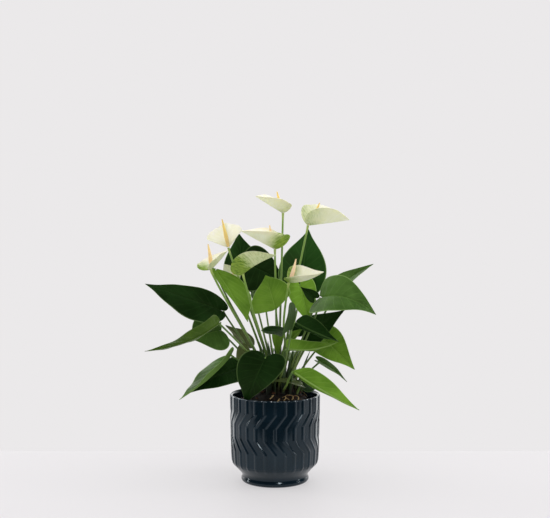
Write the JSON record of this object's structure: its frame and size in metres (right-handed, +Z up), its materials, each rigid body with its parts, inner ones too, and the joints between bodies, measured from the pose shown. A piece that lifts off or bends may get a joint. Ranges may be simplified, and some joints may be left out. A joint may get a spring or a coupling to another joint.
{
  "type": "potted anthurium",
  "caption": "Flowering houseplant with heart-shaped leaves and cream spathes, standing in a ribbed, glazed ceramic cover pot; for indoor decoration.",
  "frame": {"origin": "centre of the cover pot's underside, on the surface that it stands on", "axes": "+Z up along the pot's axis; -Y towards the viewer, the plant's display side; +X to the viewer's right"},
  "size_m": [0.333, 0.2875, 0.4312],
  "materials": {
    "glaze": "gloss",
    "plastic": "matte",
    "bark": "matte",
    "leaf_dark": "satin",
    "leaf_mid": "satin",
    "leaf_bright": "satin",
    "leaf_olive": "satin",
    "spathe": "satin",
    "spadix": "matte",
    "scape": "satin"
  },
  "bodies": {
    "root": {"cachepot": "glaze", "grow_pot": "plastic", "substrate": "bark", "leaf_left_high": "leaf_dark", "leaf_left_edge": "leaf_bright", "leaf_left_back": "leaf_mid", "leaf_left_low": "leaf_mid", "leaf_left_under": "leaf_dark", "leaf_inner_high": "leaf_olive", "leaf_inner_low": "leaf_olive", "leaf_front": "leaf_dark", "leaf_mid_left": "leaf_bright", "leaf_mid_center": "leaf_bright", "leaf_back_tip": "leaf_dark", "leaf_back_left": "leaf_dark", "leaf_back_right": "leaf_dark", "leaf_right_big": "leaf_mid", "leaf_right_curl": "leaf_dark", "leaf_right_far": "leaf_mid", "leaf_pale": "leaf_bright", "leaf_vee": "leaf_dark", "leaf_right_dark": "leaf_dark", "leaf_right_shade": "leaf_dark", "leaf_right_long": "leaf_bright", "leaf_right_green": "leaf_bright", "leaf_right_small": "leaf_mid", "leaf_right_front": "leaf_bright", "leaf_right_rear": "leaf_dark", "leaf_mid_small": "leaf_bright", "leaf_low_small": "leaf_olive", "leaf_curl_small": "leaf_bright", "leaf_rear_high": "leaf_mid", "leaf_rear_low_left": "leaf_dark", "leaf_rear_low_right": "leaf_mid", "flower_1_scape": "scape", "flower_1_spathe": "spathe", "flower_1_spadix": "spadix", "flower_2_scape": "scape", "flower_2_spathe": "spathe", "flower_2_spadix": "spadix", "flower_3_scape": "scape", "flower_3_spathe": "spathe", "flower_3_spadix": "spadix", "flower_4_scape": "scape", "flower_4_spathe": "spathe", "flower_4_spadix": "spadix", "flower_5_scape": "scape", "flower_5_spathe": "spathe", "flower_5_spadix": "spadix", "flower_6_scape": "scape", "flower_6_spathe": "spathe", "flower_6_spadix": "spadix", "flower_7_scape": "scape", "flower_7_spathe": "spathe", "flower_7_spadix": "spadix", "flower_8_scape": "scape", "flower_8_spathe": "spathe", "flower_8_spadix": "spadix"}
  },
  "joints": []
}
